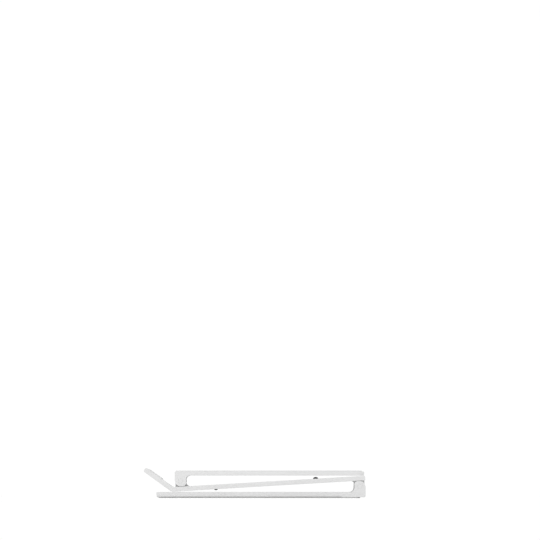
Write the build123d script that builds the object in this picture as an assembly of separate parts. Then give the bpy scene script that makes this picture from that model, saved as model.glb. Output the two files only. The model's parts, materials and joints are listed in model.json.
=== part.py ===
"""Folding laptop stand: a base, two bent arms and a platform, joined by friction hinges.

Millimetres. X runs across the stand, -Y points at the user and +Z up. The origin is on
the table, under the middle of the folded stand.
"""

from build123d import *
import os
from math import cos, radians, sin

# ---- Driving dimensions -------------------------------------------------------------

HALF_WIDTH = 105.0
RAIL_WIDTH = 28.0
EDGE_ROUND = 0.4
BASE_EDGE_ROUND = 0.2
BORE_CHAMFER = 0.2
NEAR = 0.01
OVERSHOOT = 1.0

BASE_PAD_T = 1.0
BASE_T = 5.6
BASE_LENGTH = 220.4
BASE_FRONT_BAR = 26.0
BASE_REAR_BAR = 24.0
BASE_FRONT_ROUND = 7.0
BASE_PAD_FRONT_GAP = 2.2
BASE_PAD_REAR_GAP = 6.0
BASE_PAD_SIDE_GAP = 0.4

COLUMN_D = 12.0
COLUMN_FILLET = 4.5
COLUMN_TAPER = 1.0
CORNER_ROUND = 1.8

KNUCKLE_R = 5.6
SHOULDER_R = 3.2
SHOULDER_U = 2.6
RUNNING_GAP = 0.25
LOWER_AXIS_Z = 12.6

ARM_SLOPE_DEG = 3.36
ARM_SLOPE = radians(ARM_SLOPE_DEG)
ARM_T = 4.85
ARM_HEEL = 6.0
HEEL_TOP_ROUND = 1.4
HEEL_UNDER_ROUND = 0.6
HINGE_SPAN = 188.5
BEND_PAST_HINGE = 8.4
BEND_OUTER_R = 8.0
BEND_INNER_R = 3.0

LIP_ANGLE = radians(36.0)
LIP_T = 4.85
LIP_LENGTH = 35.1
LIP_ROUND = 1.7
LIP_PAD_T = 1.1
LIP_PAD_START = 13.6
LIP_PAD_END = 31.9
LIP_PAD_SOFT = 0.5
LIP_PAD_SIDE_GAP = 1.0

PLATFORM_Z = 24.0
PLATFORM_T = 4.2
PLATFORM_REACH = 193.6
PLATFORM_FRONT_BAR = 30.0
PLATFORM_REAR_BAR = 30.0
PLATFORM_REAR_ROUND = 7.0
PLATFORM_FRONT_ROUND = 1.0
PLATFORM_PAD_T = 1.1
PLATFORM_PAD_CORNER = 4.0
PLATFORM_PAD_SOFT = 0.44
PLATFORM_PAD_SIDE_GAP = 0.8
PLATFORM_PAD_FRONT_GAP = 1.2
PLATFORM_PAD_REAR_GAP = 2.2

WINDOW_ROUND = 10.0

OUTER_CHEEK = 7.0
INNER_CHEEK = 7.0
LOWER_LUG_R = 5.0
UPPER_LUG_R = 5.4
LUG_FILLET = 3.5
LUG_REAR_FILLET = 4.5
LUG_FRONT_FILLET = 1.0
WASHER_GAP = 0.5
WASHER_T = 0.44
WASHER_R = 4.9

PIN_R = 2.5
PIN_RECESS = 0.1
PIN_CHAMFER = 0.2
PIN_SHOULDER = 0.8
THREAD_SHOWING = 0.3
THREAD_R = 2.0
FIXED_FIT = 0.01
RUNNING_FIT = 0.03
BUSH_R = 3.3
BUSH_END_GAP = 0.05

SPRING_R = 4.3
SPRING_BORE_R = 2.15
SPRING_T = 0.45
SPRING_HEIGHT = 0.7
SPRING_COUNT = 2
NUT_FLATS = 7.0
NUT_T = 3.8
CAP_R = 5.1
CAP_WALL = 0.55
CAP_ROOM = 0.6
CAP_ROUND = 1.0

CROSS_PLATE_T = 2.0
CROSS_PLATE_START = 58.0
CROSS_PLATE_DEPTH = 56.0
CROSS_PLATE_LAP = 20.0
CROSS_PLATE_GAP = 0.1
CROSS_PLATE_CORNER = 0.5
SCREW_R = 1.5
SCREW_HEAD_R = 2.9
SCREW_HEAD_T = 1.4
SCREW_HEAD_FIT = 0.02
SCREW_SOCKET_R = 1.1
SCREW_SOCKET_DEPTH = 1.0
SCREW_LENGTH = 4.0
SCREW_ROOM = 0.3
SCREW_EDGE = 9.0

UPPER_BUMPER_U = 46.0
UPPER_BUMPER_R = 2.5
UPPER_BUMPER_H = 1.8
LOWER_BUMPER_U = 151.7
LOWER_BUMPER_R = 1.7
LOWER_BUMPER_H = 1.1
BUMPER_RIM = 0.3
BUMPER_STEM_R = 1.2
BUMPER_STEM_DEPTH = 2.6
BUMPER_STEM_ROOM = 0.1
BUMPER_INSET = 8.0

# ---- Places worked out from them ----------------------------------------------------

RAIL_X = HALF_WIDTH - RAIL_WIDTH
SLOT_OUT_X = HALF_WIDTH - OUTER_CHEEK
SLOT_IN_X = RAIL_X + INNER_CHEEK
LUG_OUT_X = SLOT_OUT_X - WASHER_GAP
LUG_IN_X = SLOT_IN_X + WASHER_GAP

BASE_TOP = BASE_PAD_T + BASE_T
PLATFORM_TOP = PLATFORM_Z + PLATFORM_T
ARM_UNDER = KNUCKLE_R + RUNNING_GAP
ARM_OVER = ARM_UNDER + ARM_T
UPPER_AXIS_N = ARM_OVER + KNUCKLE_R + RUNNING_GAP
BEND_U = HINGE_SPAN + BEND_PAST_HINGE
SHOULDER_N = KNUCKLE_R - SHOULDER_R

LIP_DIR = Vector(-cos(LIP_ANGLE), sin(LIP_ANGLE))
LIP_UP = Vector(sin(LIP_ANGLE), cos(LIP_ANGLE))

# How far the lip's rounded tip stands in front of the lower hinge axis.
BEND_REACH = BEND_U * cos(ARM_SLOPE) + ARM_OVER * sin(ARM_SLOPE)
TIP_REACH = (LIP_LENGTH - LIP_ROUND) * cos(LIP_ANGLE) + (LIP_T - LIP_ROUND) * sin(LIP_ANGLE)
FRONT_REACH = BEND_REACH + TIP_REACH + LIP_ROUND

LOWER_AXIS_Y = (FRONT_REACH - COLUMN_D / 2) / 2
REAR_Y = LOWER_AXIS_Y + COLUMN_D / 2
BASE_FRONT_Y = REAR_Y - BASE_LENGTH


def on_arm(u, n):
    """Point (y, z) that lies u along the arm and n above the lower hinge axis."""
    y = LOWER_AXIS_Y - u * cos(ARM_SLOPE) - n * sin(ARM_SLOPE)
    z = LOWER_AXIS_Z - u * sin(ARM_SLOPE) + n * cos(ARM_SLOPE)
    return Vector(y, z)


LOWER_AXIS = Vector(LOWER_AXIS_Y, LOWER_AXIS_Z)
UPPER_AXIS = on_arm(HINGE_SPAN, UPPER_AXIS_N)
BEND = on_arm(BEND_U, ARM_OVER)
PLATFORM_FRONT_Y = UPPER_AXIS.X - COLUMN_D / 2
PLATFORM_REAR_Y = UPPER_AXIS.X + PLATFORM_REACH


# ---- Helpers ------------------------------------------------------------------------

STANDING = (Align.CENTER, Align.CENTER, Align.MIN)


def outline(*points):
    """Flat shape through these (y, z) points, which may run either way round."""
    loop = [p if isinstance(p, Vector) else Vector(*p) for p in points]
    turns = [a.X * b.Y - b.X * a.Y for a, b in zip(loop, loop[1:] + loop[:1])]
    return Polygon(*(loop if sum(turns) > 0 else reversed(loop)))


def rounded(shape, *corners):
    """Rounds the corners of a flat shape, each given as (point, radius)."""
    for point, radius in corners:
        nearest = shape.vertices().sort_by_distance((point.X, point.Y, 0))[0]
        shape = fillet(nearest, radius)
    return shape


def across(profile, x_in, x_out):
    """Solid with this (y, z) side profile, from x_in to x_out."""
    return extrude(Plane.YZ.offset(x_in) * profile, x_out - x_in, dir=(1, 0, 0))


def rod(radius, x_in, x_out, axis):
    """Round bar along X on a hinge axis."""
    return Pos((x_in + x_out) / 2, axis.X, axis.Y) * Rot(0, 90, 0) * Cylinder(radius, x_out - x_in)


def sleeve(radius, bore, x_in, x_out, axis):
    return rod(radius, x_in, x_out, axis) - rod(bore, x_in - OVERSHOOT, x_out + OVERSHOOT, axis)


def both_sides(solid):
    return solid + mirror(solid, Plane.YZ)


def arm_location(u, n, x=0.0):
    """Frame on the arm: its X is the stand's X, its Z is square to the arm."""
    point = on_arm(u, n)
    return Pos(x, point.X, point.Y) * Rot(ARM_SLOPE_DEG, 0, 0)


def side_edges(solid, x, seam_y=None):
    """Edges round the flat faces at X = x and -x, less the smooth seam of a rounded corner."""
    edges = []
    for face in solid.faces().filter_by(Plane.YZ):
        if abs(abs(face.center().X) - x) < NEAR:
            edges += face.outer_wire().edges()
    return [e for e in edges if seam_y is None or abs(e.center().Y - seam_y) > NEAR]


def window_edges(solid):
    """Edges of the window, on both faces of a ring plate."""
    edges = []
    for face in solid.faces().filter_by(Plane.XY):
        for wire in face.inner_wires():
            edges += wire.edges()
    return edges


def plan_ring(y_front, y_rear, z_low, z_high, bars, rounds):
    """Flat ring plate with a window. bars and rounds are (front, rear)."""
    low, high = Vector(HALF_WIDTH, y_front), Vector(HALF_WIDTH, y_rear)
    outer = Pos(0, (y_front + y_rear) / 2) * Rectangle(2 * HALF_WIDTH, y_rear - y_front)
    for side in (-1, 1):
        outer = rounded(
            outer,
            (Vector(side * low.X, low.Y), rounds[0]),
            (Vector(side * high.X, high.Y), rounds[1]),
        )
    window_front, window_rear = y_front + bars[0], y_rear - bars[1]
    window = Pos(0, (window_front + window_rear) / 2) * RectangleRounded(
        2 * RAIL_X, window_rear - window_front, WINDOW_ROUND
    )
    return extrude(Pos(0, 0, z_low) * (outer - window), z_high - z_low, dir=(0, 0, 1))


def knuckle_profile(axis, shoulder, z_far):
    """Column with a knuckle end, round where the arm swings past it.

    shoulder is the centre of its other, squarer corner, and z_far is the column's far end.
    """
    taper_z = axis.Y + COLUMN_TAPER * (1 if z_far > axis.Y else -1)
    width = COLUMN_D / 2
    flare = outline(
        (axis.X - width, z_far),
        (axis.X + width, z_far),
        (axis.X + width, taper_z),
        (axis.X - width, taper_z),
    )
    circle = Pos(axis.X, axis.Y) * Circle(KNUCKLE_R)
    corner = Pos(shoulder.X, shoulder.Y) * Circle(SHOULDER_R)
    return make_hull((flare.face() + circle + corner).edges())


# ---- Base ---------------------------------------------------------------------------


def base_column():
    """Side profile of a rear column with the end of its bar."""
    column_front = LOWER_AXIS.X - COLUMN_D / 2
    bar = outline(
        (column_front - 3 * COLUMN_FILLET, BASE_PAD_T),
        (REAR_Y, BASE_PAD_T),
        (REAR_Y, BASE_TOP),
        (column_front - 3 * COLUMN_FILLET, BASE_TOP),
    )
    shoulder = on_arm(SHOULDER_U, SHOULDER_N)
    profile = bar + knuckle_profile(LOWER_AXIS, shoulder, BASE_PAD_T)
    return rounded(
        profile,
        (Vector(column_front, BASE_TOP), COLUMN_FILLET),
        (Vector(REAR_Y, BASE_PAD_T), CORNER_ROUND),
    )


def pin_bore(axis):
    """Hole for a hinge pin through a right-hand knuckle, with a chamfered mouth."""
    mouth = Cone(PIN_R, PIN_R + 2 * BORE_CHAMFER, 2 * BORE_CHAMFER)
    mouth = Pos(HALF_WIDTH, axis.X, axis.Y) * Rot(0, 90, 0) * mouth
    return rod(PIN_R + FIXED_FIT, RAIL_X - OVERSHOOT, HALF_WIDTH + OVERSHOOT, axis) + mouth


def base_frame():
    plate = plan_ring(
        BASE_FRONT_Y,
        REAR_Y,
        BASE_PAD_T,
        BASE_TOP,
        (BASE_FRONT_BAR, BASE_REAR_BAR),
        (BASE_FRONT_ROUND, CORNER_ROUND),
    )
    heel = plate.edges().filter_by(Axis.X).sort_by(Axis.Y)[-2:].sort_by(Axis.Z)[0]
    plate = fillet(heel, CORNER_ROUND)
    profile = base_column()
    cheeks = across(profile, SLOT_OUT_X, HALF_WIDTH) + across(profile, RAIL_X, SLOT_IN_X)
    frame = plate + both_sides(cheeks)
    frame = fillet(side_edges(frame, HALF_WIDTH, BASE_FRONT_Y + BASE_FRONT_ROUND), BASE_EDGE_ROUND)
    frame = fillet(window_edges(frame), EDGE_ROUND)
    return frame - both_sides(pin_bore(LOWER_AXIS))


def base_pad():
    y_front = BASE_FRONT_Y + BASE_PAD_FRONT_GAP
    y_rear = REAR_Y - BASE_PAD_REAR_GAP
    width = RAIL_WIDTH - 2 * BASE_PAD_SIDE_GAP
    strip = Pos(HALF_WIDTH - RAIL_WIDTH / 2, (y_front + y_rear) / 2) * RectangleRounded(
        width, y_rear - y_front, BASE_FRONT_ROUND - BASE_PAD_FRONT_GAP
    )
    return extrude(strip, BASE_PAD_T, dir=(0, 0, 1))


# ---- Arms ---------------------------------------------------------------------------


def arm_bar():
    """Bent bar: sloping arm and upturned lip, with its corners rounded."""
    lip_low = LIP_UP * -LIP_T
    tip = BEND + LIP_DIR * LIP_LENGTH
    turn = (ARM_SLOPE + LIP_ANGLE) / 2
    outer_bend = on_arm(BEND_U + ARM_T * sin(turn) / cos(turn), ARM_UNDER)
    heel_under = on_arm(-ARM_HEEL, ARM_UNDER)
    heel_over = on_arm(-ARM_HEEL, ARM_OVER)
    points = [heel_under, heel_over, BEND, tip, tip + lip_low, outer_bend]
    shape = outline(*points)
    return rounded(
        shape,
        (outer_bend, BEND_OUTER_R),
        (BEND, BEND_INNER_R),
        (tip, LIP_ROUND),
        (tip + lip_low, LIP_ROUND),
        (heel_under, HEEL_UNDER_ROUND),
        (heel_over, HEEL_TOP_ROUND),
    )


def lug(radius, u_axis, n_axis, n_face, fillets):
    """Side profile of a lug; fillets are its (rear, front) radii at the arm's face."""
    axis = on_arm(u_axis, n_axis)
    into_bar = n_face + (ARM_T / 2 if n_face > n_axis else -ARM_T / 2)
    rear = [on_arm(u_axis - radius, n) for n in (n_axis, into_bar)]
    front = [on_arm(u_axis + radius, n) for n in (into_bar, n_axis)]
    web = outline(*rear, *front)
    profile = web + Pos(axis.X, axis.Y) * Circle(radius) + arm_bar()
    corners = []
    for side, hollow in zip((-1, 1), fillets):
        if hollow:
            corners.append((on_arm(u_axis + side * radius, n_face), hollow))
    return rounded(profile, *corners)


def arm():
    bar = across(arm_bar(), RAIL_X, HALF_WIDTH)
    bar = fillet(side_edges(bar, RAIL_X) + side_edges(bar, HALF_WIDTH), EDGE_ROUND)
    lower = lug(LOWER_LUG_R, 0, 0, ARM_UNDER, (0, LUG_FILLET))
    hollows = (LUG_REAR_FILLET, LUG_FRONT_FILLET)
    upper = lug(UPPER_LUG_R, HINGE_SPAN, UPPER_AXIS_N, ARM_OVER, hollows)
    body = bar + across(lower, LUG_IN_X, LUG_OUT_X) + across(upper, LUG_IN_X, LUG_OUT_X)
    for axis in (LOWER_AXIS, UPPER_AXIS):
        body -= rod(BUSH_R + FIXED_FIT, LUG_IN_X - OVERSHOOT, LUG_OUT_X + OVERSHOOT, axis)
    pocket_u = CROSS_PLATE_START + CROSS_PLATE_DEPTH / 2
    pocket = arm_location(pocket_u, ARM_UNDER) * Box(
        2 * (RAIL_X + CROSS_PLATE_LAP), CROSS_PLATE_DEPTH, 2 * CROSS_PLATE_T
    )
    body -= pocket
    for place in screw_places():
        body -= place * Cylinder(SCREW_R + FIXED_FIT, 2 * (SCREW_LENGTH + SCREW_ROOM))
    for u, n in ((UPPER_BUMPER_U, ARM_OVER), (LOWER_BUMPER_U, ARM_UNDER)):
        hole = Cylinder(BUMPER_STEM_R + FIXED_FIT, 2 * BUMPER_STEM_DEPTH)
        body -= arm_location(u, n, HALF_WIDTH - BUMPER_INSET) * hole
    return body


def screw_places():
    """Frames of the cross plate's right-hand screws, on its lower face."""
    x = RAIL_X + CROSS_PLATE_LAP / 2
    ends = (CROSS_PLATE_START + SCREW_EDGE, CROSS_PLATE_START + CROSS_PLATE_DEPTH - SCREW_EDGE)
    return [arm_location(u, ARM_UNDER, x) for u in ends]


def cross_plate():
    middle = CROSS_PLATE_START + CROSS_PLATE_DEPTH / 2
    width = 2 * (RAIL_X + CROSS_PLATE_LAP - CROSS_PLATE_GAP)
    depth = CROSS_PLATE_DEPTH - 2 * CROSS_PLATE_GAP
    flat = RectangleRounded(width, depth, CROSS_PLATE_CORNER)
    plate = arm_location(middle, ARM_UNDER) * extrude(flat, CROSS_PLATE_T, dir=(0, 0, 1))
    holes = Part()
    for place in screw_places():
        cone = Cone(SCREW_HEAD_R, SCREW_R, SCREW_HEAD_T, align=STANDING)
        holes += place * (cone + Cylinder(SCREW_R + FIXED_FIT, 3 * CROSS_PLATE_T))
    return plate - both_sides(holes)


def cross_plate_screws():
    screws = []
    for place in screw_places():
        head_r, neck_r = SCREW_HEAD_R - SCREW_HEAD_FIT, SCREW_R - SCREW_HEAD_FIT
        head = Cone(head_r, neck_r, SCREW_HEAD_T, align=STANDING)
        shank = Cylinder(SCREW_R, SCREW_LENGTH, align=STANDING)
        socket = extrude(RegularPolygon(SCREW_SOCKET_R, 6), SCREW_SOCKET_DEPTH, dir=(0, 0, 1))
        screw = place * (head + shank - socket)
        screws += [screw, mirror(screw, Plane.YZ)]
    return screws


def lip_pad():
    """Silicone strip on the lip's upper face."""
    start = BEND + LIP_DIR * LIP_PAD_START
    end = BEND + LIP_DIR * LIP_PAD_END
    corners = [start, end, end + LIP_UP * LIP_PAD_T, start + LIP_UP * LIP_PAD_T]
    flat = outline(*corners)
    flat = rounded(flat, (corners[2], LIP_PAD_SOFT), (corners[3], LIP_PAD_SOFT))
    return across(flat, RAIL_X + LIP_PAD_SIDE_GAP, HALF_WIDTH - LIP_PAD_SIDE_GAP)


def bumper(u, n, radius, height, outward):
    """Domed rubber stop with a stem in the arm; outward is 1 on top, -1 below."""
    crown = height - BUMPER_RIM
    ball_r = (radius**2 + crown**2) / (2 * crown)
    dome = Cylinder(radius, height, align=STANDING) & Pos(0, 0, height - ball_r) * Sphere(ball_r)
    stem = Cylinder(BUMPER_STEM_R, BUMPER_STEM_DEPTH, align=STANDING)
    stem = Pos(0, 0, BUMPER_STEM_ROOM - BUMPER_STEM_DEPTH) * stem
    turn = Rot(0 if outward > 0 else 180, 0, 0)
    return arm_location(u, n, HALF_WIDTH - BUMPER_INSET) * turn * (dome + stem)


# ---- Platform -----------------------------------------------------------------------


def platform_column():
    """Side profile of a front column with the start of its bar."""
    column_rear = UPPER_AXIS.X + COLUMN_D / 2
    bar = outline(
        (PLATFORM_FRONT_Y, PLATFORM_Z),
        (column_rear + 3 * COLUMN_FILLET, PLATFORM_Z),
        (column_rear + 3 * COLUMN_FILLET, PLATFORM_TOP),
        (PLATFORM_FRONT_Y, PLATFORM_TOP),
    )
    shoulder = on_arm(HINGE_SPAN - SHOULDER_U, UPPER_AXIS_N - SHOULDER_N)
    profile = bar + knuckle_profile(UPPER_AXIS, shoulder, PLATFORM_TOP)
    return rounded(
        profile,
        (Vector(column_rear, PLATFORM_Z), COLUMN_FILLET),
        (Vector(PLATFORM_FRONT_Y, PLATFORM_TOP), PLATFORM_FRONT_ROUND),
    )


def platform_frame():
    plate = plan_ring(
        PLATFORM_FRONT_Y,
        PLATFORM_REAR_Y,
        PLATFORM_Z,
        PLATFORM_TOP,
        (PLATFORM_FRONT_BAR, PLATFORM_REAR_BAR),
        (PLATFORM_FRONT_ROUND, PLATFORM_REAR_ROUND),
    )
    nose = plate.edges().filter_by(Axis.X).sort_by(Axis.Y)[:2].sort_by(Axis.Z)[-1]
    plate = fillet(nose, PLATFORM_FRONT_ROUND)
    profile = platform_column()
    cheeks = across(profile, SLOT_OUT_X, HALF_WIDTH) + across(profile, RAIL_X, SLOT_IN_X)
    frame = plate + both_sides(cheeks)
    frame = fillet(side_edges(frame, HALF_WIDTH, PLATFORM_REAR_Y - PLATFORM_REAR_ROUND), EDGE_ROUND)
    frame = fillet(window_edges(frame), EDGE_ROUND)
    return frame - both_sides(pin_bore(UPPER_AXIS))


def platform_pad():
    y_front = PLATFORM_FRONT_Y + PLATFORM_PAD_FRONT_GAP
    y_rear = PLATFORM_REAR_Y - PLATFORM_PAD_REAR_GAP
    width = RAIL_WIDTH - 2 * PLATFORM_PAD_SIDE_GAP
    strip = Pos(HALF_WIDTH - RAIL_WIDTH / 2, (y_front + y_rear) / 2, PLATFORM_TOP)
    strip = strip * RectangleRounded(width, y_rear - y_front, PLATFORM_PAD_CORNER)
    pad = extrude(strip, PLATFORM_PAD_T, dir=(0, 0, 1))
    return fillet(pad.edges().group_by(Axis.Z)[-1], PLATFORM_PAD_SOFT)


# ---- Hinge hardware, right-hand side ------------------------------------------------


def hinge_pin(axis):
    """Shouldered pin: its plain end shows outside, its thread takes the nut."""
    shoulder = RAIL_X + PIN_SHOULDER
    shank = rod(PIN_R, shoulder, HALF_WIDTH - PIN_RECESS, axis)
    shank = chamfer(shank.edges().group_by(Axis.X)[-1], PIN_CHAMFER)
    return shank + rod(THREAD_R, RAIL_X - stack_length() - THREAD_SHOWING, shoulder, axis)


def stack_length():
    """Springs and nut, measured inwards from the inner cheek."""
    return SPRING_COUNT * SPRING_HEIGHT + NUT_T


def hinge_springs(axis):
    """Disc springs, coned towards and away from the cheek by turns."""
    discs = []
    for n in range(SPRING_COUNT):
        x_rim = RAIL_X - SPRING_HEIGHT * n
        rim = [(SPRING_R, 0), (SPRING_R, SPRING_T)]
        lift = SPRING_HEIGHT - SPRING_T
        hub = [(SPRING_BORE_R, SPRING_T + lift), (SPRING_BORE_R, lift)]
        flat = outline(*rim, *hub)
        disc = revolve(Plane.XZ * flat, Axis.Z)
        turn = Rot(0, -90, 0)
        if n % 2:
            disc = Pos(0, 0, SPRING_HEIGHT) * Rot(180, 0, 0) * disc
        discs.append(Pos(x_rim, axis.X, axis.Y) * turn * disc)
    return discs


def hinge_nut(axis):
    x_out = RAIL_X - SPRING_COUNT * SPRING_HEIGHT
    hexagon = Pos(axis.X, axis.Y) * RegularPolygon(NUT_FLATS / 2, 6, major_radius=False)
    nut = across(hexagon, x_out - NUT_T, x_out)
    return nut - rod(THREAD_R + FIXED_FIT, x_out - NUT_T - OVERSHOOT, x_out + OVERSHOOT, axis)


def hinge_cap(axis):
    """Round cover over the springs and the nut."""
    x_end = RAIL_X - stack_length() - CAP_ROOM
    shell = rod(CAP_R, x_end - CAP_WALL, RAIL_X, axis)
    shell = fillet(shell.edges().group_by(Axis.X)[0], CAP_ROUND)
    return shell - rod(CAP_R - CAP_WALL, x_end, RAIL_X + OVERSHOOT, axis)


def hinge_bush(axis):
    ends = (LUG_IN_X + BUSH_END_GAP, LUG_OUT_X - BUSH_END_GAP)
    return sleeve(BUSH_R, PIN_R + RUNNING_FIT, *ends, axis)


def hinge_washers(axis):
    washers = []
    for middle in (SLOT_IN_X + WASHER_GAP / 2, SLOT_OUT_X - WASHER_GAP / 2):
        ends = (middle - WASHER_T / 2, middle + WASHER_T / 2)
        washers.append(sleeve(WASHER_R, PIN_R + RUNNING_FIT, *ends, axis))
    return washers


# ---- Files --------------------------------------------------------------------------


def save(name, *solids):
    shape = solids[0] if len(solids) == 1 else Compound(children=[s.solid() for s in solids])
    export_step(shape, f"parts/{name}.step")


def save_pair(name, *solids):
    """Writes the right-hand piece and its mirror image."""
    save(f"{name}_right", *solids)
    save(f"{name}_left", *[mirror(s, Plane.YZ) for s in solids])


os.makedirs("parts", exist_ok=True)

save("base_frame", base_frame())
save_pair("base_pad", base_pad())

save_pair("arm", arm())
save("arm_cross_plate", cross_plate())
save("cross_plate_screws", *cross_plate_screws())
save_pair("lip_pad", lip_pad())
save_pair("upper_bumper", bumper(UPPER_BUMPER_U, ARM_OVER, UPPER_BUMPER_R, UPPER_BUMPER_H, 1))
save_pair("lower_bumper", bumper(LOWER_BUMPER_U, ARM_UNDER, LOWER_BUMPER_R, LOWER_BUMPER_H, -1))

save("platform_frame", platform_frame())
save_pair("platform_pad", platform_pad())

for level, hinge in (("lower", LOWER_AXIS), ("upper", UPPER_AXIS)):
    save_pair(f"{level}_hinge_pin", hinge_pin(hinge))
    save_pair(f"{level}_disc_springs", *hinge_springs(hinge))
    save_pair(f"{level}_lock_nut", hinge_nut(hinge))
    save_pair(f"{level}_hinge_cap", hinge_cap(hinge))
    save_pair(f"{level}_hinge_bush", hinge_bush(hinge))
    save_pair(f"{level}_friction_washers", *hinge_washers(hinge))

print("lower axis", LOWER_AXIS, "upper axis", UPPER_AXIS)
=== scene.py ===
"""Looks of the folding laptop stand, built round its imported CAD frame. Metres."""

import json
import math

import bmesh
import bpy
from mathutils import Matrix, Vector


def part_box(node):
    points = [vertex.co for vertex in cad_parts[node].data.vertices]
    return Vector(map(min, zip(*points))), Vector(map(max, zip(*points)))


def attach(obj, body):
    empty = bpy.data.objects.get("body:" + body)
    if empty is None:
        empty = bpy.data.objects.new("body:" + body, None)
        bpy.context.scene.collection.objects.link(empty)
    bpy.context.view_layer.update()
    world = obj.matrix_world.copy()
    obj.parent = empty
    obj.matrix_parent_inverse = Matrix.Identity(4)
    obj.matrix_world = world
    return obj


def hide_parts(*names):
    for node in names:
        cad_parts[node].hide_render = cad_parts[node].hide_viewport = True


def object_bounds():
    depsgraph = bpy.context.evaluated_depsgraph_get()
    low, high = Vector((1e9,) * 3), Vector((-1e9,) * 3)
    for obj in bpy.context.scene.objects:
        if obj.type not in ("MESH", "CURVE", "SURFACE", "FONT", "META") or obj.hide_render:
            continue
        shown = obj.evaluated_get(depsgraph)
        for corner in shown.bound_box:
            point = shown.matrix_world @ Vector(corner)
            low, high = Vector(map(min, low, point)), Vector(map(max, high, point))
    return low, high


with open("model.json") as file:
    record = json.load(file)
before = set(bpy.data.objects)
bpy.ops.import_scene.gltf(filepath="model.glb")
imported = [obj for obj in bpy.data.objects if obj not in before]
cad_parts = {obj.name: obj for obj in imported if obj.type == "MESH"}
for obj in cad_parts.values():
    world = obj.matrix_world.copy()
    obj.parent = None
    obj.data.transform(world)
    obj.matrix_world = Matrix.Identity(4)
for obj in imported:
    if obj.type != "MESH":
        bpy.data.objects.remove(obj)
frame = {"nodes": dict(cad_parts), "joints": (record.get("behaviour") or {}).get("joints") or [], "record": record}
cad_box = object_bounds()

MM = 0.001

# ---- Meshes -------------------------------------------------------------------------

# Faces that meet at a larger angle than this keep a sharp edge between them.
CAD_SHARP_DEG = 30
PIECE_SHARP_DEG = 32

# Steps in a quarter circle at the ends and corners of a pad.
ARC_STEPS = 6

# How far a dot or ridge reaches into its pad, as a part of the dot's height or ridge's radius.
SUNK = 0.25
RIDGE_SUNK = 0.2

# A ridge's height, and its radius at its very ends, as parts of its radius.
RIDGE_FLATNESS = 0.5
RIDGE_END = 0.12

# Half the width of a groove's floor, as a part of the groove's width.
GROOVE_FLOOR = 0.3


def finish_mesh(name, bm, sharp_deg=PIECE_SHARP_DEG):
    """Object from a bmesh, smooth except at edges sharper than sharp_deg."""
    bmesh.ops.recalc_face_normals(bm, faces=bm.faces)
    mesh = bpy.data.meshes.new(name)
    bm.to_mesh(mesh)
    bm.free()
    smooth(mesh, sharp_deg)
    piece = bpy.data.objects.new(name, mesh)
    bpy.context.scene.collection.objects.link(piece)
    return piece


def smooth(mesh, sharp_deg):
    for face in mesh.polygons:
        face.use_smooth = True
    mesh.set_sharp_from_angle(angle=math.radians(sharp_deg))


def skin(bm, loops):
    """Joins each closed loop of vertices to the next one."""
    for one, two in zip(loops, loops[1:]):
        for n in range(len(one)):
            m = (n + 1) % len(one)
            bm.faces.new((one[n], one[m], two[m], two[n]))


def end_stations(length, corner, soft):
    """Distances along a pad, dense where its ends and corners are round."""
    arc = [math.radians(90 * n / ARC_STEPS) for n in range(ARC_STEPS + 1)]
    ends = {radius * (1 - math.cos(a)) for radius in (corner, soft) for a in arc}
    ends = sorted(round(e, 7) for e in ends)
    return ends + [length - e for e in reversed(ends)]


def round_in(distance, radius):
    """How far a round corner of this radius has pulled in at this distance from the end."""
    gap = max(0.0, radius - distance)
    return radius - math.sqrt(max(0.0, radius**2 - gap**2))


def pad_mesh(bm, place, size, corner, soft, section):
    """Long pad with round corners. place takes (across, along, up) to the row frame.

    section(half_width, height) gives the outline across it, with up from 0 to height.
    """
    width, length, height = size
    loops = []
    for along in end_stations(length, corner, soft):
        near = min(along, length - along)
        half = width / 2 - round_in(near, corner)
        top = height - round_in(near, soft)
        points = [Vector((x, along, z)) for x, z in section(half, top)]
        loops.append([bm.verts.new(place @ point) for point in points])
    skin(bm, loops)
    bm.faces.new(loops[0])
    bm.faces.new(list(reversed(loops[-1])))


def soft_section(soft, steps=4):
    """Outline of a pad that is flat below, with round shoulders."""

    def outline(half, height):
        right = []
        for n in range(steps + 1):
            turn = math.radians(90 * n / steps)
            x, z = soft * math.cos(turn), soft * math.sin(turn)
            right.append((half - soft + x, height - soft + z))
        left = [(-x, z) for x, z in reversed(right)]
        return [(half, 0.0)] + right + left + [(-half, 0.0)]

    return outline


def grooved_section(soft, grooves, groove_width, groove_depth):
    """Outline of a pad with grooves along its outer face, at its full height."""

    def outline(half, height):
        shoulder = soft_section(soft)(half, height)
        middle = len(shoulder) // 2
        cuts = []
        for n in range(grooves):
            centre = half * (1 - 2 * (n + 1) / (grooves + 1))
            lip, floor = groove_width / 2, groove_width * GROOVE_FLOOR
            bottom = height - groove_depth
            cuts += [(centre + lip, height), (centre + floor, bottom)]
            cuts += [(centre - floor, bottom), (centre - lip, height)]
        return shoulder[:middle] + cuts + shoulder[middle:]

    return outline


def dome(bm, place, radius, height, sides=12, rings=3):
    """Low closed dome standing on the origin of place."""
    levels = [(radius, -SUNK * height)]
    for n in range(rings):
        angle = math.radians(90 * n / rings)
        levels.append((radius * math.cos(angle), height * math.sin(angle)))
    loops = []
    for r, z in levels:
        circle = [Vector((r * math.cos(a), r * math.sin(a), z)) for a in turns(sides)]
        loops.append([bm.verts.new(place @ point) for point in circle])
    skin(bm, loops)
    top = bm.verts.new(place @ Vector((0, 0, height)))
    for n in range(sides):
        bm.faces.new((loops[-1][n], loops[-1][(n + 1) % sides], top))
    bm.faces.new(list(reversed(loops[0])))


def turns(sides):
    return [2 * math.pi * n / sides for n in range(sides)]


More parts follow.
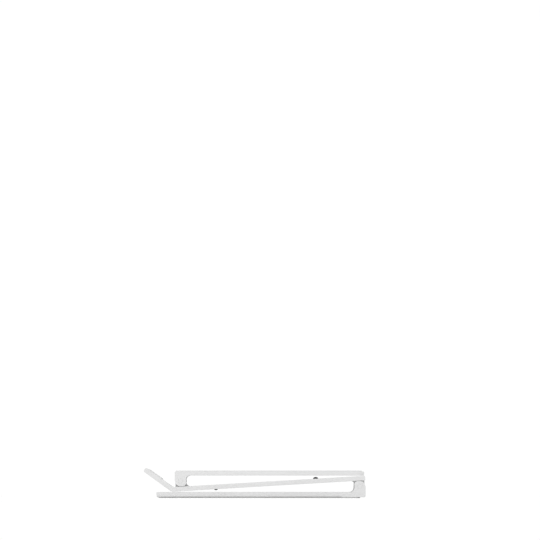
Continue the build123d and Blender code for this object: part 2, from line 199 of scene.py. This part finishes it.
def ridge(bm, place, length, radius, sides=8):
    """Low half-round ridge along x with round ends, closed below."""
    ends = [-length / 2 + radius * (1 - math.cos(math.radians(a))) for a in (0, 30, 60, 90)]
    loops = []
    for x in ends + [-e for e in reversed(ends)]:
        left = min(x + length / 2, length / 2 - x)
        r = radius - round_in(left, radius) if left < radius else radius
        r = max(r, radius * RIDGE_END)
        arc = [math.radians(180 * n / sides) for n in range(sides + 1)]
        points = [(r * math.cos(a), r * math.sin(a) * RIDGE_FLATNESS) for a in arc]
        points += [(-r, -radius * RIDGE_SUNK), (r, -radius * RIDGE_SUNK)]
        loops.append([bm.verts.new(place @ Vector((x, y, z))) for y, z in points])
    skin(bm, loops)
    bm.faces.new(loops[0])
    bm.faces.new(list(reversed(loops[-1])))


# ---- Pads ---------------------------------------------------------------------------

DOT_RADIUS = 1.1 * MM
DOT_HEIGHT = 0.25 * MM
DOT_PITCH = 5.2 * MM
DOT_EDGE = 3.6 * MM
PAD_CORNER = 4.0 * MM
PAD_SOFT = 0.4 * MM


def platform_grip(side):
    """Pale silicone strip on a platform bar, with a staggered field of grip dots."""
    low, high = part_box(f"platform_pad_{side}")
    width, length, height = high - low
    body = height - DOT_HEIGHT
    place = Matrix.Translation(((low.x + high.x) / 2, low.y, low.z))
    bm = bmesh.new()
    pad_mesh(bm, place, (width, length, body), PAD_CORNER, PAD_SOFT, soft_section(PAD_SOFT))
    rows = int((length - 2 * DOT_EDGE) / (DOT_PITCH / 2)) + 1
    columns = int((width / 2 - DOT_EDGE) / DOT_PITCH)
    for row in range(rows):
        along = length / 2 + (row - (rows - 1) / 2) * DOT_PITCH / 2
        shift = DOT_PITCH / 2 if row % 2 else 0.0
        for column in range(-columns, columns + 1):
            across = column * DOT_PITCH + shift
            if abs(across) <= width / 2 - DOT_EDGE + DOT_RADIUS:
                spot = place @ Matrix.Translation((across, along, body))
                dome(bm, spot, DOT_RADIUS, DOT_HEIGHT)
    piece = finish_mesh(f"platform_grip_{side}", bm)
    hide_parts(f"platform_pad_{side}")
    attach(piece, "platform")
    return piece


BASE_GROOVES = 4
BASE_GROOVE_WIDTH = 1.6 * MM
BASE_GROOVE_DEPTH = 0.45 * MM
BASE_CORNER = 4.8 * MM
BASE_SOFT = 0.2 * MM


def base_tread(side):
    """Grey silicone strip under a base bar, grooved along its length."""
    low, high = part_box(f"base_pad_{side}")
    width, length, height = high - low
    flip = Matrix.Rotation(math.pi, 4, "Y")
    place = Matrix.Translation(((low.x + high.x) / 2, low.y, high.z)) @ flip
    bm = bmesh.new()
    section = grooved_section(BASE_SOFT, BASE_GROOVES, BASE_GROOVE_WIDTH, BASE_GROOVE_DEPTH)
    pad_mesh(bm, place, (width, length, height), BASE_CORNER, BASE_SOFT, section)
    piece = finish_mesh(f"base_tread_{side}", bm)
    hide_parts(f"base_pad_{side}")
    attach(piece, "base")
    return piece


LIP_ANGLE = math.radians(36.0)
LIP_PAD_T = 1.1 * MM
LIP_CORNER = 2.0 * MM
LIP_SOFT = 0.28 * MM
RIDGE_RADIUS = 0.6 * MM
RIDGE_COUNT = 5
RIDGE_EDGE = 2.4 * MM


def lip_grip(side):
    """Pale silicone strip inside a lip, with ridges across it."""
    low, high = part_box(f"lip_pad_{side}")
    width = high.x - low.x
    length = (high.y - low.y - LIP_PAD_T * math.sin(LIP_ANGLE)) / math.cos(LIP_ANGLE)
    turn = Matrix.Rotation(-LIP_ANGLE, 4, "X") @ Matrix.Rotation(math.pi, 4, "Z")
    start_y = high.y - LIP_PAD_T * math.sin(LIP_ANGLE)
    place = Matrix.Translation(((low.x + high.x) / 2, start_y, low.z)) @ turn
    body = LIP_PAD_T - RIDGE_RADIUS * RIDGE_FLATNESS
    bm = bmesh.new()
    pad_mesh(bm, place, (width, length, body), LIP_CORNER, LIP_SOFT, soft_section(LIP_SOFT))
    for n in range(RIDGE_COUNT):
        along = RIDGE_EDGE + (length - 2 * RIDGE_EDGE) * n / (RIDGE_COUNT - 1)
        spot = place @ Matrix.Translation((0, along, body))
        ridge(bm, spot, width - 2 * RIDGE_EDGE, RIDGE_RADIUS)
    piece = finish_mesh(f"lip_grip_{side}", bm)
    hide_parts(f"lip_pad_{side}")
    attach(piece, "arm")
    return piece


# ---- Materials ----------------------------------------------------------------------

PAINT = (0.665, 0.665, 0.665)
PIN_END = 104.5 * MM
PIN_END_BLEND = 0.01 * MM
# Radius of the band along edges that gets the painted highlight.
EDGE_HIGHLIGHT_RADIUS = 0.5 * MM

# Distance between the rings of a wave texture whose scale is 1.
WAVE_PERIOD = 0.314

# Cosine between the true and the rounded normal, at an edge and on a flat face.
EDGE_COSINE = 0.85
FLAT_COSINE = 0.995


def shade(colour, factor):
    return tuple(c * factor for c in colour)


class Shader:
    """A node material: its Principled shader and short ways to add patterns to it."""

    def __init__(self, name, colour, roughness, metallic=0.0):
        self.material = bpy.data.materials.new(name)
        self.material.use_nodes = True
        self.nodes = self.material.node_tree.nodes
        self.links = self.material.node_tree.links
        self.shader = self.nodes["Principled BSDF"]
        self.shader.inputs["Base Color"].default_value = (*colour, 1)
        self.shader.inputs["Roughness"].default_value = roughness
        self.shader.inputs["Metallic"].default_value = metallic
        self.place = self.nodes.new("ShaderNodeTexCoord").outputs["Object"]
        self.normal = None

    def noise(self, size, detail=2.0, stretch=(1, 1, 1)):
        """Noise whose features are about size metres across."""
        node = self.nodes.new("ShaderNodeTexNoise")
        node.inputs["Scale"].default_value = 1 / size
        node.inputs["Detail"].default_value = detail
        mapping = self.nodes.new("ShaderNodeMapping")
        mapping.inputs["Scale"].default_value = stretch
        self.links.new(self.place, mapping.inputs["Vector"])
        self.links.new(mapping.outputs["Vector"], node.inputs["Vector"])
        return node.outputs["Fac"]

    def cells(self, size):
        """Distance to the nearest of random points about size metres apart."""
        node = self.nodes.new("ShaderNodeTexVoronoi")
        node.inputs["Scale"].default_value = 1 / size
        self.links.new(self.place, node.inputs["Vector"])
        return node.outputs["Distance"]

    def rings(self, size, centre):
        """Turning marks about a line along X through centre."""
        mapping = self.nodes.new("ShaderNodeMapping")
        mapping.inputs["Location"].default_value = [-c for c in centre]
        self.links.new(self.place, mapping.inputs["Vector"])
        node = self.nodes.new("ShaderNodeTexWave")
        node.wave_type = "RINGS"
        node.rings_direction = "X"
        node.inputs["Scale"].default_value = WAVE_PERIOD / size
        node.inputs["Distortion"].default_value = 0.6
        self.links.new(mapping.outputs["Vector"], node.inputs["Vector"])
        return node.outputs["Fac"]

    def spread(self, pattern, low, high, start=0.3, end=0.7):
        """Number from low to high as the pattern goes from start to end."""
        node = self.nodes.new("ShaderNodeMapRange")
        values = {"From Min": start, "From Max": end, "To Min": low, "To Max": high}
        for socket, value in values.items():
            node.inputs[socket].default_value = value
        self.links.new(pattern, node.inputs["Value"])
        return node.outputs["Result"]

    def tint(self, amount, one, two):
        """Colour one where amount is 0 and two where it is 1. Each is a colour or a socket."""
        node = self.nodes.new("ShaderNodeMix")
        node.data_type = "RGBA"
        self.links.new(amount, node.inputs["Factor"])
        for socket, colour in ((node.inputs[6], one), (node.inputs[7], two)):
            if isinstance(colour, tuple):
                socket.default_value = (*colour, 1)
            else:
                self.links.new(colour, socket)
        return node.outputs[2]

    def bump(self, height, distance, strength):
        """Adds relief of this depth, in metres, on top of what is there."""
        node = self.nodes.new("ShaderNodeBump")
        node.inputs["Strength"].default_value = strength
        node.inputs["Distance"].default_value = distance
        self.links.new(height, node.inputs["Height"])
        if self.normal:
            self.links.new(self.normal, node.inputs["Normal"])
        self.normal = node.outputs["Normal"]
        self.links.new(self.normal, self.shader.inputs["Normal"])

    def edges(self, radius):
        """About 1 on edges sharper than a radius and 0 on flat faces."""
        bevel = self.nodes.new("ShaderNodeBevel")
        bevel.samples = 4
        bevel.inputs["Radius"].default_value = radius
        geometry = self.nodes.new("ShaderNodeNewGeometry")
        dot = self.nodes.new("ShaderNodeVectorMath")
        dot.operation = "DOT_PRODUCT"
        self.links.new(bevel.outputs["Normal"], dot.inputs[0])
        self.links.new(geometry.outputs["Normal"], dot.inputs[1])
        return self.spread(dot.outputs["Value"], 1.0, 0.0, EDGE_COSINE, FLAT_COSINE)

    def painted(self):
        """Colour of the powder coat: slow drifts, faint handling marks, and a painted highlight that lightens its
        edges.
        """
        drift = self.spread(self.noise(60 * MM, 3), 0, 1, 0.35, 0.65)
        coat = self.tint(drift, shade(PAINT, 0.98), shade(PAINT, 1.02))
        specks = self.spread(self.cells(4.5 * MM), 1, 0, 0.03, 0.07)
        coat = self.tint(specks, coat, shade(PAINT, 0.88))
        # Painted highlight: edges are lighter than the coat, standing in for the light they catch.
        return self.tint(self.edges(EDGE_HIGHLIGHT_RADIUS), coat, shade(PAINT, 1.07))

    def beyond(self, reach):
        """1 where X is farther than reach from the middle of the stand, on either side."""
        split = self.nodes.new("ShaderNodeSeparateXYZ")
        self.links.new(self.place, split.inputs["Vector"])
        size = self.nodes.new("ShaderNodeMath")
        size.operation = "ABSOLUTE"
        self.links.new(split.outputs["X"], size.inputs[0])
        return self.spread(size.outputs["Value"], 0, 1, reach - PIN_END_BLEND, reach)

    def drive(self, socket, value):
        self.links.new(value, self.shader.inputs[socket])


def white_paint():
    """Satin powder coat on cast aluminium, with a fine orange peel."""
    s = Shader("white_paint", PAINT, 0.42)
    s.drive("Base Color", s.painted())
    s.drive("Roughness", s.spread(s.noise(12 * MM, 4), 0.36, 0.50))
    s.shader.inputs["Specular IOR Level"].default_value = 0.45
    s.shader.inputs["Coat Weight"].default_value = 0.08
    s.shader.inputs["Coat Roughness"].default_value = 0.25
    s.bump(s.noise(1.1 * MM, 2), 0.03 * MM, 0.35)
    s.bump(s.noise(0.3 * MM, 1), 0.008 * MM, 0.30)
    return s.material


def silicone(name, colour, dust, roughness, grain):
    """Moulded silicone: matte, finely grained, with a little lint."""
    s = Shader(name, colour, roughness)
    mottled = s.tint(s.spread(s.noise(20 * MM, 4), 0, 1), colour, shade(colour, 0.93))
    lint = s.spread(s.noise(1.6 * MM, 1, (1, 0.35, 1)), 0, 1, 0.68, 0.76)
    s.drive("Base Color", s.tint(lint, mottled, dust))
    s.drive("Roughness", s.spread(s.noise(6 * MM, 3), roughness - 0.06, roughness + 0.08))
    s.shader.inputs["Specular IOR Level"].default_value = 0.35
    s.shader.inputs["Sheen Weight"].default_value = 0.08
    s.bump(s.noise(grain, 2), 0.02 * MM, 0.45)
    s.bump(s.cells(grain * 2.2), 0.01 * MM, 0.25)
    return s.material


def turned_steel(name, centre):
    """Bright steel with turning marks round its own axis. The end that shows is painted."""
    s = Shader(name, (0.62, 0.62, 0.63), 0.3)
    marks = s.rings(0.16 * MM, centre)
    end = s.beyond(PIN_END)
    stained = s.spread(s.noise(2 * MM, 3), 0, 1)
    bare = s.tint(stained, (0.66, 0.66, 0.67), (0.54, 0.54, 0.55))
    # The painted end takes the powder coat's colour, painted edge highlight included.
    s.drive("Base Color", s.tint(end, bare, s.painted()))
    s.drive("Metallic", s.spread(end, 1, 0, 0, 1))
    s.drive("Roughness", s.spread(marks, 0.28, 0.42, 0, 1))
    s.bump(marks, 0.006 * MM, 0.5)
    return s.material


def metal(name, colour, colour_two, roughness, mark):
    """Plain metal with a fine drawn or plated grain and uneven tone. mark is the grain's size."""
    s = Shader(name, colour, roughness, 1.0)
    s.drive("Base Color", s.tint(s.spread(s.noise(3 * MM, 4), 0, 1), colour, colour_two))
    s.drive("Roughness", s.spread(s.noise(mark, 3), roughness - 0.08, roughness + 0.12))
    s.bump(s.noise(mark * 0.5, 2, (0.2, 1, 1)), 0.008 * MM, 0.4)
    return s.material


def plastic(name, colour, roughness):
    """Spark-eroded moulded plastic: an even fine grain."""
    s = Shader(name, colour, roughness)
    mottled = s.tint(s.spread(s.noise(9 * MM, 3), 0, 1), colour, shade(colour, 0.96))
    s.drive("Base Color", mottled)
    s.drive("Roughness", s.spread(s.noise(0.8 * MM, 2), roughness - 0.05, roughness + 0.07))
    s.bump(s.cells(0.5 * MM), 0.015 * MM, 0.4)
    return s.material


# Name, colour, colour of its lint, roughness and grain.
SILICONES = (
    # base_silicone is a darker grey than platform_silicone: painted shade for the strips that lie in the shadow
    # under the base.
    ("base_silicone", (0.50, 0.50, 0.50), (0.58, 0.58, 0.57), 0.74, 0.6 * MM),
    ("platform_silicone", (0.67, 0.67, 0.67), (0.59, 0.59, 0.58), 0.68, 0.5 * MM),
    ("bumper_rubber", (0.012, 0.012, 0.013), (0.04, 0.04, 0.04), 0.70, 0.4 * MM),
)

# Name, its two tones, roughness and size of its marks.
METALS = (
    ("spring_steel", (0.30, 0.29, 0.29), (0.22, 0.23, 0.26), 0.38, 0.6 * MM),
    ("fastener_steel", (0.56, 0.56, 0.55), (0.47, 0.48, 0.50), 0.34, 0.5 * MM),
    ("bush_bronze", (0.55, 0.36, 0.17), (0.44, 0.28, 0.13), 0.42, 0.4 * MM),
)


def hinge_axis(name):
    return next(j["pos_m"] for j in frame["joints"] if j["name"] == name)


def make_materials():
    """One material for each of the record's slots. The pins have one for each axis."""
    made = {
        "white_paint": white_paint(),
        "pin_steel": turned_steel("pin_steel_lower", hinge_axis("lower_hinge")),
        "pin_steel_upper": turned_steel("pin_steel_upper", hinge_axis("upper_hinge")),
        "cap_plastic": plastic("cap_plastic", (0.70, 0.70, 0.695), 0.5),
        # Near-black washers, whose colour also paints the shade in the gaps between knuckles and arm.
        "washer_plastic": plastic("washer_plastic", (0.06, 0.06, 0.062), 0.55),
    }
    for name, colour, dust, roughness, grain in SILICONES:
        made[name] = silicone(name, colour, dust, roughness, grain)
    for name, colour, colour_two, roughness, mark in METALS:
        made[name] = metal(name, colour, colour_two, roughness, mark)
    return made


def dress(materials):
    """Gives each CAD node the material of its slot."""
    slots = {s["node"]: s["material_slot"] for s in frame["record"]["subparts"]}
    for name, node in frame["nodes"].items():
        slot = slots[name]
        if slot == "pin_steel" and name.startswith("upper"):
            slot = "pin_steel_upper"
        node.data.materials.clear()
        node.data.materials.append(materials[slot])


# ---- Studio -------------------------------------------------------------------------

# A long lens from far away, so that the stand is seen almost without perspective.
LENS = 1690.0
SENSOR = 36.0
FRAME_WIDTH = 568.6 * MM
FRAME_CENTRE_Y = 16.08 * MM
FRAME_CENTRE_Z = 240.3 * MM
FLOOR_HALF = 3.0
FLOOR_CELLS = 24
SKY = 1.02
CLIP = (1.0, 100.0)

# Name, place seen from the middle of the stand, width and power of each round light.
SOFTBOXES = (
    ("key", (1.4, -0.9, 1.7), 1.6, 9.0),
    ("top", (-0.4, 0.6, 2.2), 2.0, 4.0),
)


def studio(box):
    low, high = box
    world = bpy.data.worlds.new("studio")
    bpy.context.scene.world = world
    world.use_nodes = True
    sky = world.node_tree.nodes["Background"]
    sky.inputs["Color"].default_value = (1, 1, 1, 1)
    sky.inputs["Strength"].default_value = SKY

    bm = bmesh.new()
    bmesh.ops.create_grid(bm, x_segments=FLOOR_CELLS, y_segments=FLOOR_CELLS, size=FLOOR_HALF)
    floor = finish_mesh("floor", bm)
    s = Shader("floor_paper", (0.93, 0.93, 0.93), 0.9)
    paper = s.tint(s.spread(s.noise(400 * MM, 3), 0, 1), (0.925, 0.925, 0.925), (0.94, 0.94, 0.94))
    s.drive("Base Color", paper)
    s.bump(s.noise(2 * MM, 2), 0.05 * MM, 0.2)
    floor.data.materials.append(s.material)

    middle = (low + high) / 2
    for name, offset, width, power in SOFTBOXES:
        softbox(name, middle + Vector(offset), middle, width, power)

    camera = bpy.data.cameras.new("camera")
    camera.lens = LENS
    camera.sensor_width = SENSOR
    camera.clip_start, camera.clip_end = CLIP
    holder = bpy.data.objects.new("camera", camera)
    bpy.context.scene.collection.objects.link(holder)
    distance = LENS * FRAME_WIDTH / SENSOR
    holder.location = (high.x + distance, 0.0, middle.z)
    aim = Vector((high.x, FRAME_CENTRE_Y, FRAME_CENTRE_Z)) - holder.location
    holder.rotation_euler = aim.to_track_quat("-Z", "Y").to_euler()
    bpy.context.scene.camera = holder
    bpy.context.scene.view_settings.view_transform = "Standard"


def softbox(name, place, target, size, power):
    light = bpy.data.lights.new(name, "AREA")
    light.shape = "DISK"
    light.size = size
    light.energy = power
    holder = bpy.data.objects.new(name, light)
    holder.location = place
    holder.rotation_euler = (target - place).to_track_quat("-Z", "Y").to_euler()
    bpy.context.scene.collection.objects.link(holder)


# ---- Scene --------------------------------------------------------------------------

materials = make_materials()
dress(materials)
for node in frame["nodes"].values():
    smooth(node.data, CAD_SHARP_DEG)
for side in ("left", "right"):
    platform_grip(side).data.materials.append(materials["platform_silicone"])
    lip_grip(side).data.materials.append(materials["platform_silicone"])
    base_tread(side).data.materials.append(materials["base_silicone"])
studio(cad_box)
